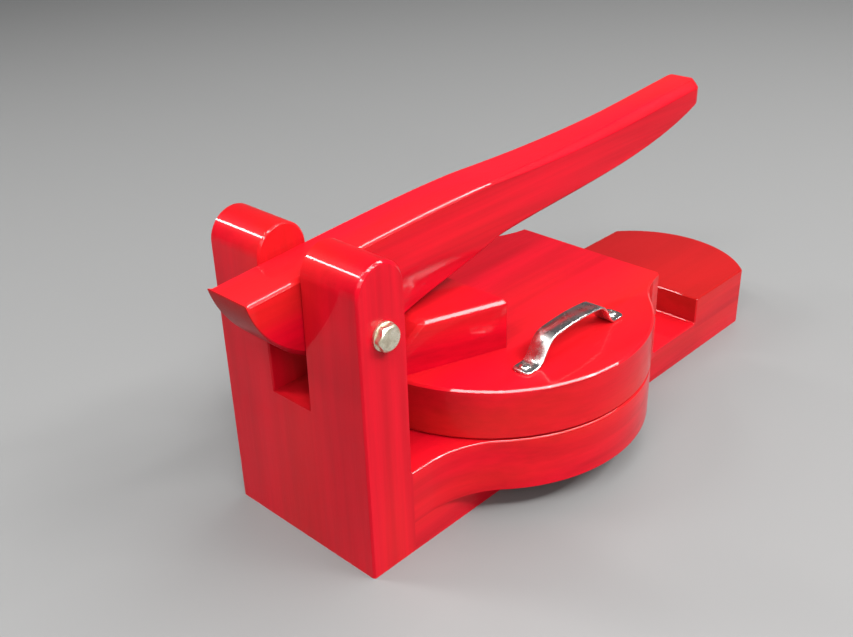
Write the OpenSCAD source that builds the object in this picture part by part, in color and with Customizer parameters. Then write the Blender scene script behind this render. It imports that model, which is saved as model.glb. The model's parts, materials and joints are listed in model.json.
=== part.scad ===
// Wooden lever press for tortillas.
// A clevis post carries a long lever. The lever bears on a block on a hinged
// round platen, and the platen presses the dough on the base board.
//
// Frame: millimetres, +Z up. The origin lies on the ground under the centre of
// the round board. The post stands at -X and the arc-shaped end lies at +X.

/* [Base] */
// Diameter of the round pressing faces
disc_d = 200; // [180:1:215]
// Width of the post, the neck and the far end
neck_w = 110; // [95:1:120]
// Radius of the hollow flare between the neck and the round board
flare_r = 60; // [40:1:70]
// Thickness of the straight runner under the board
runner_t = 18.5; // [14:0.5:21]
// Thickness of the base board
board_t = 32.5; // [31:0.5:38]
// From the outer face of the post to the centre of the round board
post_reach = 154; // [152:1:170]
// From the centre of the round board to the tip of the arc-shaped end
far_reach = 246; // [225:1:270]
// Radius of the arc-shaped end
end_arc_r = 72; // [65:1:120]

/* [Hinge notch] */
// From the centre of the round board to the wall that carries the hinges
hinge_wall_x = 105; // [104:1:112]
// Length of the notch between the hinge wall and the far block
notch_len = 53; // [40:1:60]
// Depth of the notch floor below the pressing face
notch_depth = 28; // [26:0.5:30]
// Drop of the far block below the pressing face
far_drop = 9; // [0:0.5:14]

/* [Clevis post] */
// Thickness of the post
post_t = 31; // [26:0.5:34]
// Height of the post
post_h = 177; // [167:1:192]
// Width of the slot for the lever
slot_w = 30; // [26:0.5:36]
// Height of the slot floor
slot_floor_z = 87; // [80:1:87]

/* [Platen] */
// Thickness of the platen
platen_t = 31; // [26:0.5:36]
// Gap between the pressing faces
parting_gap = 0.4; // [0.2:0.1:1]

/* [Pressing block] */
// Height of the block above the platen
block_h = 30; // [26:0.5:31]
// From the platen centre to the wide end of the block, on the post side
block_far_x = 31; // [25:1:40]
// From the platen centre to the narrow end of the block
block_near_x = 94; // [88:1:94]
// Width of the narrow end
block_near_w = 42; // [34:1:50]
// Width of the wide end
block_far_w = 88; // [70:1:96]
// Length of the bevel on top of the narrow end
block_bevel_x = 12.5; // [6:0.5:16]
// Height of the bevel on top of the narrow end
block_bevel_z = 13.5; // [6:0.5:18]

/* [Lever] */
// Height of the pivot above the ground
pivot_z = 139; // [138.5:0.5:141]
// From the pivot to the tip of the lever
lever_reach = 349; // [300:1:380]
// From the pivot to the tail
tail_reach = 47; // [40:1:47]
// Height of the tail's top edge above the pivot
tail_rise = 20; // [14:0.5:20]
// Height of the back of the lever above the pivot, beyond the post
back_rise = 29; // [25:0.5:32]
// Height of the tip's top edge above the pivot
tip_rise = 39; // [34:0.5:50]
// Thickness of the grip at its thinnest stretch
grip_t = 29; // [22:0.5:33]
// Depth of the belly under the top of the block
belly_drop = 6.5; // [4:0.5:8]
// Thickness of the tip
tip_t = 15; // [10:0.5:20]
// Width of the grip at its narrowest stretch
grip_w = 28; // [20:0.5:29]
// Width of the tip
tip_w = 29; // [22:0.5:29]
// Radius of the tip's corners seen from above
tip_corner_r = 9; // [4:0.5:10]
// Gap between the lever and each cheek of the slot
cheek_gap = 0.3; // [0.2:0.1:1]
// Gap between the lever and the block at rest
press_gap = 0.3; // [0.2:0.1:0.6]

/* [Pivot bolt] */
// Diameter of the bolt
bolt_d = 8; // [6:0.5:10]
// Width across the flats of the head and the nut
hex_w = 13; // [13:0.5:17]
// Height of the bolt head with its collar
head_h = 5.4; // [4.5:0.1:8]
// Diameter of the collar under the bolt head
collar_d = 15; // [14:0.5:20]
// Thickness of the collar
collar_t = 1.4; // [0.8:0.1:2.2]
// Height of the nut
nut_h = 6.5; // [5:0.1:9]
// Diameter of the washer under the nut
washer_d = 17; // [17:0.5:24]
// Thickness of the washer
washer_t = 1.6; // [1:0.1:3]
// Length of thread beyond the nut
thread_out = 3; // [1:0.5:8]

/* [Pull handle] */
// Length of the strap from foot end to foot end
pull_len = 91; // [76:1:100]
// Height of the strap above the platen
pull_h = 17; // [14:0.5:22]
// Width of the strap
pull_w = 12; // [9:0.5:14]
// Thickness of the strap
pull_t = 1.6; // [1.2:0.1:2.5]
// Length of each foot
pull_foot = 11; // [9:0.5:14]
// Distance of the strap from the centre line of the press
pull_y = 66; // [63:0.5:72]
// Offset of the strap's middle from the platen centre towards the post
pull_x = 5; // [0:1:8]

/* [Hinges] */
// Distance of each hinge from the centre line
hinge_y = 30; // [26:1:32]
// Length of each hinge along its pin
hinge_len = 38; // [32:1:42]
// Height of each leaf from the pin's axis
leaf_h = 23; // [19:0.5:24]
// Thickness of the leaves
leaf_t = 1.6; // [1.2:0.1:2]
// Diameter of the knuckles
knuckle_d = 6.6; // [6:0.1:8]
// Diameter of the hinge pin
hinge_pin_d = 3.2; // [2.6:0.1:4]

/* [Fasteners] */
// Diameter of the wood screws' shanks
screw_d = 3.5; // [3:0.1:4]
// Diameter of the wood screws' heads
screw_head_d = 7; // [6:0.1:8]
// Length of the wood screws in the hinges and the pull handle
screw_len = 18; // [12:1:24]
// Length of the screws that hold the runner
runner_screw_len = 30; // [25:1:40]
// Diameter of the dowels
dowel_d = 10; // [8:0.5:12]
// Length of the dowels in the post joint
post_dowel_len = 40; // [30:1:44]
// Length of the dowels under the block
block_dowel_len = 30; // [20:1:32]

/* [Fits] */
// Radial clearance of turning parts on their pins
run_fit = 0.05; // [0.02:0.01:0.08]
// Radial clearance of fasteners and dowels in their holes
seat_fit = 0.05; // [0.02:0.01:0.1]
// Clearance between hinge knuckles
knuckle_gap = 0.3; // [0.2:0.1:0.6]

/* [Hidden] */
$fn = 96;

wood = [0.80, 0.05, 0.10];
steel = [0.80, 0.80, 0.78];
zinc = [0.80, 0.77, 0.62];
beech = [0.82, 0.68, 0.48];

disc_r = disc_d / 2;
neck_hw = neck_w / 2;
press_z = runner_t + board_t;
hex_chamfer = 1.2;
turned_corners = 1.1;
well_depth = 1;
near_screw_inset = 26;
far_screw_inset = 30;
slot_depth = 0.8;
pull_corner_r = 3;
platen_z = press_z + parting_gap;
platen_top = platen_z + platen_t;
block_top = platen_top + block_h;
notch_floor = press_z - notch_depth;
far_top = press_z - far_drop;
far_block_x = hinge_wall_x + notch_len;

post_x = -post_reach;
post_in_x = post_x + post_t;
pivot_x = post_x + post_t / 2;

// Centre of a flare and its end on the round board. The flare bites a little
// into the neck and the round, so that its ends cross them cleanly.
flare_bite = 0.05;
flare_y = neck_hw + flare_r - flare_bite;
flare_span = disc_r + flare_r - flare_bite;
flare_x = sqrt(pow(flare_span, 2) - pow(flare_y, 2));
flare_touch_x = flare_x * disc_r / flare_span;
flare_touch_y = flare_y * disc_r / flare_span;

// Hinge axis
hinge_x = hinge_wall_x + knuckle_d / 2 + knuckle_gap;
hinge_z = press_z + parting_gap / 2;
knuckle_len = hinge_len / 3;
leaf_screw_y = hinge_len / 3;
leaf_screw_z = leaf_h * 0.62;
screw_cone_h = (screw_head_d - screw_d) / 2;

// Places of the fasteners
post_dowel_places = [for (y = [-1, 1], z = [0.32, 0.74])
    [y * neck_hw * 0.64, runner_t + z * board_t]];
runner_screw_places = [for (x = [post_in_x + near_screw_inset, -disc_r * 0.4,
                                 disc_r * 0.4, far_block_x + far_screw_inset],
                            y = [-1, 1]) [x, y * neck_hw * 0.6]];
block_mid_x = -(block_near_x + block_far_x) / 2;
block_dowel_places = [for (x = [-1, 1]) block_mid_x - x * (block_near_x - block_far_x) * 0.2];
pull_screw_dx = pull_len / 2 - pull_foot * 0.45;

// Point on a cubic Bezier curve with the control points p
function bezier_at(p, t) =
    pow(1 - t, 3) * p[0] + 3 * t * pow(1 - t, 2) * p[1]
    + 3 * t * t * (1 - t) * p[2] + pow(t, 3) * p[3];

// Points along a cubic Bezier curve, without its last point
function bezier(p, n = 14) = [for (i = [0 : n - 1]) bezier_at(p, i / n)];

function reversed(list) = [for (i = [len(list) - 1 : -1 : 0]) list[i]];

// Unit vector square to the path at its point i
function path_normal(path, i) =
    let (a = path[max(i - 1, 0)], b = path[min(i + 1, len(path) - 1)], d = b - a)
    [-d[1], d[0]] / norm(d);

// The path moved sideways by s
function path_offset(path, s) =
    [for (i = [0 : len(path) - 1]) path[i] + s * path_normal(path, i)];

// ---------------------------------------------------------------- outlines

// The hollow flare at +Y that joins the round board to the neck on one side,
// -1 at the post and 1 at the hinges
module flare(side) {
    difference() {
        translate([side > 0 ? flare_touch_x : -flare_x, 0])
            square([flare_x - flare_touch_x, flare_touch_y]);
        translate([side * flare_x, flare_y]) circle(flare_r);
    }
}

module flares(side) {
    flare(side);
    mirror([0, 1]) flare(side);
}

// Strip as wide as the neck that ends in the arc, seen from above
module strip_outline() {
    intersection() {
        translate([post_in_x, -neck_hw]) square([far_reach - post_in_x, neck_w]);
        union() {
            translate([far_reach - end_arc_r, 0]) circle(end_arc_r);
            translate([post_in_x, -neck_hw])
                square([far_reach - end_arc_r - post_in_x, neck_w]);
        }
    }
}

module board_outline() {
    circle(disc_r);
    strip_outline();
    flares(-1);
    flares(1);
}

// Round on the post side, with a flared straight edge at the hinges that cuts
// whatever reaches past it
module platen_outline() {
    intersection() {
        union() {
            circle(disc_r);
            translate([0, -neck_hw]) square([hinge_wall_x, neck_w]);
            flares(1);
        }
        translate([-disc_d, -disc_d]) square([disc_d + hinge_wall_x, 2 * disc_d]);
    }
}

// ---------------------------------------------------------------- fasteners

// Countersunk screw that points along -Z, with its flat head at z = 0
module flat_screw(length, gap = 0) {
    translate([0, 0, -length - gap]) cylinder(h = length + gap, d = screw_d + 2 * gap);
    translate([0, 0, -screw_cone_h])
        cylinder(h = screw_cone_h, d1 = screw_d + 2 * gap, d2 = screw_head_d + 2 * gap);
}

// Slot in the head of a screw
module driver_slot(width, depth) {
    translate([-width / 2, -0.5, -depth]) cube([width, 1, depth + 1]);
}

module post_dowel_set(gap) {
    for (p = post_dowel_places)
        translate([post_in_x - post_dowel_len / 2 - gap * 4, p[0], p[1]])
            rotate([0, 90, 0])
                cylinder(h = post_dowel_len + gap * 8, d = dowel_d + 2 * gap);
}

module block_dowel_set(gap) {
    for (x = block_dowel_places)
        translate([x, 0, platen_top - block_dowel_len / 2 - gap * 4])
            cylinder(h = block_dowel_len + gap * 8, d = dowel_d + 2 * gap);
}

// Countersunk screws that come up through the runner into the board
module runner_screw_set(gap) {
    for (p = runner_screw_places)
        translate([p[0], p[1], well_depth]) mirror([0, 0, 1]) flat_screw(runner_screw_len, gap);
}

// Screws of both hinges; side is -1 in the base board and 1 in the platen
module hinge_screw_set(side, gap, slotted = false) {
    for (h = [-1, 1], s = [-1, 1])
        translate([hinge_wall_x + leaf_t, h * hinge_y + s * leaf_screw_y,
                   hinge_z + side * leaf_screw_z])
            rotate([0, 90, 0])
                difference() {
                    flat_screw(screw_len, gap);
                    if (slotted) driver_slot(screw_head_d, slot_depth);
                }
}

module pull_screw_holes(gap) {
    for (s = [-1, 1])
        translate([-pull_x + s * pull_screw_dx, -pull_y, platen_top + pull_t - screw_len - gap])
            cylinder(h = screw_len + gap, d = screw_d + 2 * gap);
}

// ---------------------------------------------------------------- base

module base_board() {
    color(wood) difference() {
        translate([0, 0, runner_t]) linear_extrude(board_t) board_outline();
        // Notch for the hinges
        translate([hinge_wall_x, -disc_r, notch_floor])
            cube([notch_len, disc_d, board_t]);
        // Lowered far block
        translate([far_block_x - 1, -disc_r, far_top])
            cube([far_reach, disc_d, board_t]);
        post_dowel_set(seat_fit);
        runner_screw_set(seat_fit);
        hinge_screw_set(-1, seat_fit);
    }
}

module base_runner() {
    color(wood) difference() {
        linear_extrude(runner_t) strip_outline();
        runner_screw_set(seat_fit);
        // Wells that keep the screw heads off the ground
        for (p = runner_screw_places)
            translate([p[0], p[1], -1])
                cylinder(h = well_depth + 1, d = screw_head_d + 2 * seat_fit);
    }
}

// Post with two round-topped cheeks
module clevis_post() {
    cheek_r = post_t / 2;
    color(wood) difference() {
        translate([0, neck_hw, 0]) rotate([90, 0, 0]) linear_extrude(neck_w) {
            translate([post_x, 0]) square([post_t, post_h - cheek_r]);
            translate([pivot_x, post_h - cheek_r]) circle(cheek_r);
        }
        translate([post_x - 1, -slot_w / 2, slot_floor_z])
            cube([post_t + 2, slot_w, post_h]);
        translate([pivot_x, neck_hw + 1, pivot_z]) rotate([90, 0, 0])
            cylinder(h = neck_w + 2, d = bolt_d + 2 * seat_fit);
        post_dowel_set(seat_fit);
    }
}

module post_dowels() {
    color(beech) post_dowel_set(0);
}

module runner_screws() {
    color(zinc) runner_screw_set(0);
}

// ---------------------------------------------------------------- platen

module upper_platen() {
    color(wood) difference() {
        translate([0, 0, platen_z]) linear_extrude(platen_t) platen_outline();
        block_dowel_set(seat_fit);
        hinge_screw_set(1, seat_fit);
        pull_screw_holes(seat_fit);
    }
}

// Fan-shaped block, narrow and bevelled at the post
module pressing_block() {
    near = -block_near_x;
    far = -block_far_x;
    color(wood) difference() {
        translate([0, 0, platen_top]) linear_extrude(block_h)
            polygon([
                [near, -block_near_w / 2], [far, -block_far_w / 2],
                [far, block_far_w / 2], [near, block_near_w / 2]
            ]);
        // Bevel on top of the narrow end
        translate([0, block_far_w, 0]) rotate([90, 0, 0])
            linear_extrude(2 * block_far_w)
                polygon([
                    [near - 1, block_top - block_bevel_z * (1 + 1 / block_bevel_x)],
                    [near + block_bevel_x + 1, block_top + block_bevel_z / block_bevel_x],
                    [near - 1, block_top + block_bevel_z / block_bevel_x]
                ]);
        block_dowel_set(seat_fit);
    }
}

module block_dowels() {
    color(beech) block_dowel_set(0);
}

// ---------------------------------------------------------------- lever

// Side outline of the lever, measured from the pivot. The back sweeps up in a
// slow S. The belly curves round the tail and touches the block at its narrow end.
function lever_side() =
    let (
        press_dx = -block_near_x + block_bevel_x - pivot_x,
        press_dz = block_top + press_gap - pivot_z,
        reach = lever_reach,
        belly = [press_dx * 0.5, press_dz - belly_drop],
        touch = [press_dx, press_dz],
        neck = [reach * 0.385, back_rise - grip_t - 8],
        tail = [-tail_reach, tail_rise],
        top_mid = [reach * 0.36, back_rise + 0.5],
        tip_low = [reach, tip_rise - tip_t]
    )
    concat(
        // Tail and belly
        bezier([tail, tail + [5, -22], [-tail_reach * 0.36, belly[1] + 1], belly]),
        bezier([belly, belly + [press_dx * 0.17, 0], touch - [press_dx * 0.17, 3.4], touch], 8),
        // Under the grip
        bezier([touch, touch + [20, 6], neck - [22, 7], neck], 12),
        bezier([neck, neck + [reach * 0.13, 7], tip_low - [reach * 0.17, 28], tip_low], 18),
        // Tip and back
        [[reach, tip_rise - 3]],
        bezier([[reach - 4, tip_rise], [reach * 0.8, tip_rise - 5],
                [reach * 0.62, back_rise - 1.5], top_mid], 18),
        bezier([top_mid, [reach * 0.2, back_rise + 0.5],
                [0, tail_rise + 3], tail], 10)
    );

// Half of the lever's plan, from the tail to the tip
function lever_plan_half() =
    let (
        head = (slot_w - 2 * cheek_gap) / 2,
        reach = lever_reach,
        grip = [reach * 0.68, grip_w / 2],
        tip = tip_w / 2,
        r = tip_corner_r
    )
    concat(
        [[-tail_reach - 5, head]],
        bezier([[reach * 0.28, head], [reach * 0.42, head],
                grip - [reach * 0.14, 0], grip], 12),
        bezier([grip, grip + [reach * 0.12, 0], [reach * 0.85, tip],
                [reach - r, tip]], 10),
        [for (i = [0 : 8]) let (a = 90 - i * 90 / 8)
            [reach - r + r * cos(a), tip - r + r * sin(a)]]
    );

module lever() {
    half = lever_plan_half();
    color(wood) translate([pivot_x, 0, pivot_z]) difference() {
        intersection() {
            translate([0, slot_w, 0]) rotate([90, 0, 0])
                linear_extrude(2 * slot_w) polygon(lever_side());
            translate([0, 0, -pivot_z]) linear_extrude(3 * pivot_z)
                polygon(concat(half, reversed([for (p = half) [p[0], -p[1]]])));
        }
        rotate([90, 0, 0])
            cylinder(h = 2 * slot_w, d = bolt_d + 2 * run_fit, center = true);
    }
}

// Hexagon prism with turned corners, from y = 0 to y = -h, chamfered at its outer face
module hex_head(h) {
    turned_d = hex_w * turned_corners;
    rotate([90, 0, 0]) intersection() {
        cylinder(h = h, d = hex_w / cos(30), $fn = 6);
        union() {
            cylinder(h = h - hex_chamfer, d = turned_d);
            translate([0, 0, h - hex_chamfer])
                cylinder(h = hex_chamfer, d1 = turned_d, d2 = hex_w * 0.9);
        }
    }
}

module pivot_bolt() {
    shank = neck_w + washer_t + nut_h + thread_out;
    color(zinc) translate([pivot_x, -neck_hw, pivot_z]) {
        rotate([90, 0, 0]) cylinder(h = collar_t, d = collar_d);
        hex_head(head_h);
        rotate([-90, 0, 0]) {
            cylinder(h = shank - 1, d = bolt_d);
            translate([0, 0, shank - 1]) cylinder(h = 1, d1 = bolt_d, d2 = bolt_d - 2);
        }
    }
}

module pivot_washer() {
    color(zinc) translate([pivot_x, neck_hw, pivot_z]) rotate([-90, 0, 0])
        difference() {
            cylinder(h = washer_t, d = washer_d);
            translate([0, 0, -1]) cylinder(h = washer_t + 2, d = bolt_d + 2 * seat_fit);
        }
}

module pivot_nut() {
    color(zinc) translate([pivot_x, neck_hw + washer_t, pivot_z]) difference() {
        mirror([0, 1, 0]) hex_head(nut_h);
        rotate([-90, 0, 0]) translate([0, 0, -1])
            cylinder(h = nut_h + 2, d = bolt_d + 2 * seat_fit);
    }
}

// ---------------------------------------------------------------- pull handle

// Middle line of the bent strap, seen from the side, from its middle at x = 0
function pull_half() =
    let (end = pull_len / 2, bend = end - pull_foot, top = pull_h - pull_t)
    concat(
        [[end, 0]],
        bezier([[bend + 2, 0], [bend - 5, 0], [bend - 5, top - 1.6],
                [bend - 16, top - 1]], 14),
        bezier([[bend - 16, top - 1], [bend - 22, top - 0.5],
                [6, top], [0, top]], 8)
    );

module pull_handle() {
    half = pull_half();
    corner_cut = pull_corner_r + 1;
    path = concat(half, [[0, pull_h - pull_t]],
                  reversed([for (p = half) [-p[0], p[1]]]));
    color(steel) translate([-pull_x, -pull_y, platen_top + pull_t / 2]) difference() {
        translate([0, pull_w / 2, 0]) rotate([90, 0, 0]) linear_extrude(pull_w)
            polygon(concat(path_offset(path, pull_t / 2),
                           reversed(path_offset(path, -pull_t / 2))));
        for (s = [-1, 1])
            translate([s * pull_screw_dx, 0, -pull_t])
                cylinder(h = 2 * pull_t, d = screw_d + 2 * seat_fit);
        // Rounded corners of the feet
        for (s = [-1, 1], t = [-1, 1])
            translate([s * (pull_len / 2 - pull_corner_r), t * (pull_w / 2 - pull_corner_r),
                       -pull_t])
                difference() {
                    translate([s > 0 ? 0 : -corner_cut, t > 0 ? 0 : -corner_cut, 0])
                        cube([corner_cut, corner_cut, 2 * pull_t]);
                    cylinder(h = 2 * pull_t, r = pull_corner_r);
                }
    }
}

module pull_handle_screws() {
    dome_h = 2.2;
    head_r = screw_head_d / 2;
    ball_r = (head_r * head_r + dome_h * dome_h) / (2 * dome_h);
    color(steel) for (s = [-1, 1])
        translate([-pull_x + s * pull_screw_dx, -pull_y, platen_top + pull_t])
            difference() {
                union() {
                    translate([0, 0, -screw_len]) cylinder(h = screw_len, d = screw_d);
                    intersection() {
                        translate([0, 0, dome_h - ball_r]) sphere(ball_r);
                        cylinder(h = dome_h, r = head_r);
                    }
                }
                for (a = [0, 90])
                    translate([0, 0, dome_h]) rotate(a + 20) driver_slot(head_r * 1.1, 1.1);
            }
}

// ---------------------------------------------------------------- hinges

// Leaf with its knuckles on the hinge axis. side is -1 for the leaf on the base
// board, which has the outer knuckles, and 1 for the leaf on the platen.
module hinge_leaf(hinge, side) {
    outer = side < 0;
    knuckle_spans = outer
        ? [[-hinge_len / 2, knuckle_len], [hinge_len / 2 - knuckle_len, knuckle_len]]
        : [[-knuckle_len / 2 + knuckle_gap, knuckle_len - 2 * knuckle_gap]];
    plate_start = knuckle_d / 2 + knuckle_gap;
    color(zinc) translate([hinge_x, hinge * hinge_y, hinge_z]) difference() {
        union() {
            translate([hinge_wall_x - hinge_x, -hinge_len / 2,
                       outer ? -leaf_h : plate_start])
                cube([leaf_t, hinge_len, leaf_h - plate_start]);
            for (k = knuckle_spans) {
                translate([0, k[0], 0]) rotate([-90, 0, 0])
                    cylinder(h = k[1], d = knuckle_d);
                translate([hinge_wall_x - hinge_x, k[0], outer ? -plate_start - 1 : 0])
                    cube([leaf_t, k[1], plate_start + 1]);
            }
        }
        translate([0, -hinge_len, 0]) rotate([-90, 0, 0])
            cylinder(h = 2 * hinge_len, d = hinge_pin_d + 2 * run_fit);
        for (s = [-1, 1])
            translate([hinge_wall_x + leaf_t - hinge_x, s * leaf_screw_y, side * leaf_screw_z])
                rotate([0, 90, 0]) flat_screw(screw_len, seat_fit);
    }
}

module left_hinge_base_leaf() { hinge_leaf(1, -1); }
module left_hinge_platen_leaf() { hinge_leaf(1, 1); }
module right_hinge_base_leaf() { hinge_leaf(-1, -1); }
module right_hinge_platen_leaf() { hinge_leaf(-1, 1); }

// Pin with a low round head at both ends
module hinge_pin(hinge) {
    head_t = 0.8;
    color(zinc) translate([hinge_x, hinge * hinge_y, hinge_z]) rotate([90, 0, 0]) {
        cylinder(h = hinge_len, d = hinge_pin_d, center = true);
        for (s = [-1, 1])
            translate([0, 0, s * (hinge_len + head_t) / 2])
                cylinder(h = head_t, d = hinge_pin_d + 1.4, center = true);
    }
}

module left_hinge_pin() { hinge_pin(1); }
module right_hinge_pin() { hinge_pin(-1); }

module hinge_base_screws() {
    color(zinc) hinge_screw_set(-1, 0, true);
}

module hinge_platen_screws() {
    color(zinc) hinge_screw_set(1, 0, true);
}

// ---------------------------------------------------------------- assembly

base_board();
base_runner();
clevis_post();
post_dowels();
runner_screws();
upper_platen();
pressing_block();
block_dowels();
lever();
pivot_bolt();
pivot_washer();
pivot_nut();
pull_handle();
pull_handle_screws();
left_hinge_base_leaf();
left_hinge_platen_leaf();
left_hinge_pin();
right_hinge_base_leaf();
right_hinge_platen_leaf();
right_hinge_pin();
hinge_base_screws();
hinge_platen_screws();
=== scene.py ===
"""Looks of the wooden tortilla press, built around its packed construction.

The wooden pieces get eased edges and a red stain under gloss lacquer. The
metal pieces get their plating. Every size is in metres, in the frame's axes:
+X from the post to the arc-shaped end, +Y across, +Z up.
"""

import json
import logging
import math
from dataclasses import dataclass, field
from enum import Enum
from typing import Callable, Iterable, Sequence

import bmesh
import bpy
from mathutils import Matrix, Vector


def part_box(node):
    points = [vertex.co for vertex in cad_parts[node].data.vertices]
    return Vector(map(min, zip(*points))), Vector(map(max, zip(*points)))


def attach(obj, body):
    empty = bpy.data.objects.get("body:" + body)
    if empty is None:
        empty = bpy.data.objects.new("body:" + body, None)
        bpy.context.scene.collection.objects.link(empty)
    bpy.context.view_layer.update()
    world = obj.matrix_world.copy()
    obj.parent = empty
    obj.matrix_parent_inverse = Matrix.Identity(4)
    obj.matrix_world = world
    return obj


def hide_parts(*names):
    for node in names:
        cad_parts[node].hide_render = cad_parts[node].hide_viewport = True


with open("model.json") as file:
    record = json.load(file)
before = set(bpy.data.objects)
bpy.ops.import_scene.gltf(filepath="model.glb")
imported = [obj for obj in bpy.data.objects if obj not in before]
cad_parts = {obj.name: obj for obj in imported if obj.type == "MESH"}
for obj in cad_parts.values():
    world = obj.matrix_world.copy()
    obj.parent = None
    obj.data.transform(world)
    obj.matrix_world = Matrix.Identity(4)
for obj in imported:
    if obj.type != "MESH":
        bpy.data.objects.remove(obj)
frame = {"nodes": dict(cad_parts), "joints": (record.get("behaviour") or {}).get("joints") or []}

log = logging.getLogger("tortilla_press")

MM = 0.001
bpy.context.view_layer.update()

# Two places closer than this are taken as the same height or the same wall.
NEAR = 0.1 * MM
# Long enough for a cutter to go right through any piece.
THROUGH = 0.2
# Points closer than this become one.
MERGE = 1e-6
# Faces that meet at less than this angle count as one flat face.
FLAT_ANGLE = math.radians(0.2)
# The part of half a section that one corner's rounding may take.
CORNER_ROOM = 0.98

Point2 = tuple[float, float]
Point3 = tuple[float, float, float]
Colour = tuple[float, float, float]
Material = bpy.types.Material
Object = bpy.types.Object
Socket = bpy.types.NodeSocket


class GrainRun(Enum):
    """The way the wood fibres of a piece run, as a turn that brings them to X."""

    ALONG = (0.0, 0.0, 0.0)
    UPRIGHT = (0.0, math.pi / 2, 0.0)


# ------------------------------------------------------------ node trees

@dataclass
class Wiring:
    """Short calls that add and join nodes in one tree."""

    tree: bpy.types.NodeTree

    def add(self, kind: str, **settings: object) -> bpy.types.Node:
        """Adds a node.

        Args:
            kind: The node's type name.
            settings: Its properties.

        Returns:
            The node.
        """
        node = self.tree.nodes.new(kind)
        for key, value in settings.items():
            setattr(node, key, value)
        return node

    def feed(self, socket: Socket, value: object) -> None:
        """Joins an output to a socket, or sets the socket's own value.

        Args:
            socket: The input.
            value: An output, or a plain value.
        """
        if isinstance(value, Socket):
            self.tree.links.new(value, socket)
        else:
            socket.default_value = value

    def feed_all(self, node: bpy.types.Node, values: dict[str | int, object]) -> None:
        """Feeds several inputs of a node, each by its name or its place."""
        for key, value in values.items():
            self.feed(node.inputs[key], value)

    def math(self, operation: str, *values: object, clamp: bool = False) -> Socket:
        """Adds a Math node.

        Args:
            operation: What it works out.
            values: What its inputs get, in order.
            clamp: Whether the result stays between 0 and 1.

        Returns:
            Its result.
        """
        node = self.add("ShaderNodeMath", operation=operation, use_clamp=clamp)
        self.feed_all(node, dict(enumerate(values)))
        return node.outputs[0]

    def noise(self, vector: object, stretch: Point3, detail: float = 2.0, rough: float = 0.5,
              distortion: float = 0.0) -> Socket:
        """Adds a Noise Texture that is stretched along each axis.

        Args:
            vector: Where the pattern is read.
            stretch: Its features in a metre, for each axis.
            detail: Its finer layers.
            rough: The weight of those layers.
            distortion: How far it is warped.

        Returns:
            Its value.
        """
        stretched = self.add("ShaderNodeVectorMath", operation="MULTIPLY")
        self.feed_all(stretched, {0: vector, 1: stretch})
        node = self.add("ShaderNodeTexNoise")
        self.feed_all(node, {"Vector": stretched.outputs[0], "Scale": 1.0, "Detail": detail,
                             "Roughness": rough, "Distortion": distortion})
        return node.outputs["Fac"]

    def ramp(self, value: object, start: float, end: float) -> Socket:
        """Turns a value into a smooth share.

        Args:
            value: The value.
            start: Where the share is 0.
            end: Where it is 1.

        Returns:
            The share.
        """
        node = self.add("ShaderNodeMapRange", interpolation_type="SMOOTHSTEP")
        self.feed_all(node, {"Value": value, "From Min": start, "From Max": end})
        return node.outputs["Result"]

    def mix(self, amount: object, first: object, second: object) -> Socket:
        """Mixes two colours.

        Args:
            amount: The second one's share.
            first: The first colour.
            second: The second colour.

        Returns:
            The mixed colour.
        """
        node = self.add("ShaderNodeMix", data_type="RGBA")
        first, second = ((*c, 1.0) if isinstance(c, tuple) else c for c in (first, second))
        self.feed_all(node, {0: amount, 6: first, 7: second})
        return node.outputs[2]

    def axis(self, vector: object, name: str) -> Socket:
        """Takes one axis out of a vector.

        Args:
            vector: The vector.
            name: X, Y or Z.

        Returns:
            Its value on that axis.
        """
        node = self.add("ShaderNodeSeparateXYZ")
        self.feed(node.inputs[0], vector)
        return node.outputs[name]

    def group(self, name: str, values: dict[str, object]) -> bpy.types.Node:
        """Places a shader node group.

        Args:
            name: The group's name.
            values: What its inputs get.

        Returns:
            The group's node.
        """
        node = self.add("ShaderNodeGroup", node_tree=bpy.data.node_groups[name])
        self.feed_all(node, values)
        return node

    def bump(self, height: object, strength: float, depth: float, under: Socket | None = None) -> Socket:
        """Adds a Bump node.

        Args:
            height: The relief.
            strength: How much of it shows.
            depth: Its depth.
            under: The normal that it is laid on, if there is one.

        Returns:
            The normal.
        """
        node = self.add("ShaderNodeBump")
        self.feed_all(node, {"Height": height, "Strength": strength, "Distance": depth})
        if under is not None:
            self.feed(node.inputs["Normal"], under)
        return node.outputs[0]


def new_group(name: str, inputs: dict[str, float | None], outputs: Sequence[str]) -> Wiring:
    """Starts a shader node group.

    Args:
        name: The group's name.
        inputs: Default value by input name; None makes it a vector.
        outputs: Names of the value outputs.

    Returns:
        The wiring of the group, with its input and output nodes in place.
    """
    group = bpy.data.node_groups.new(name, "ShaderNodeTree")
    for key, value in inputs.items():
        kind = "NodeSocketVector" if value is None else "NodeSocketFloat"
        socket = group.interface.new_socket(key, in_out="INPUT", socket_type=kind)
        if value is not None:
            socket.default_value = value
    for key in outputs:
        group.interface.new_socket(key, in_out="OUTPUT", socket_type="NodeSocketFloat")
    group.nodes.new("NodeGroupInput")
    group.nodes.new("NodeGroupOutput")
    return Wiring(group)


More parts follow.
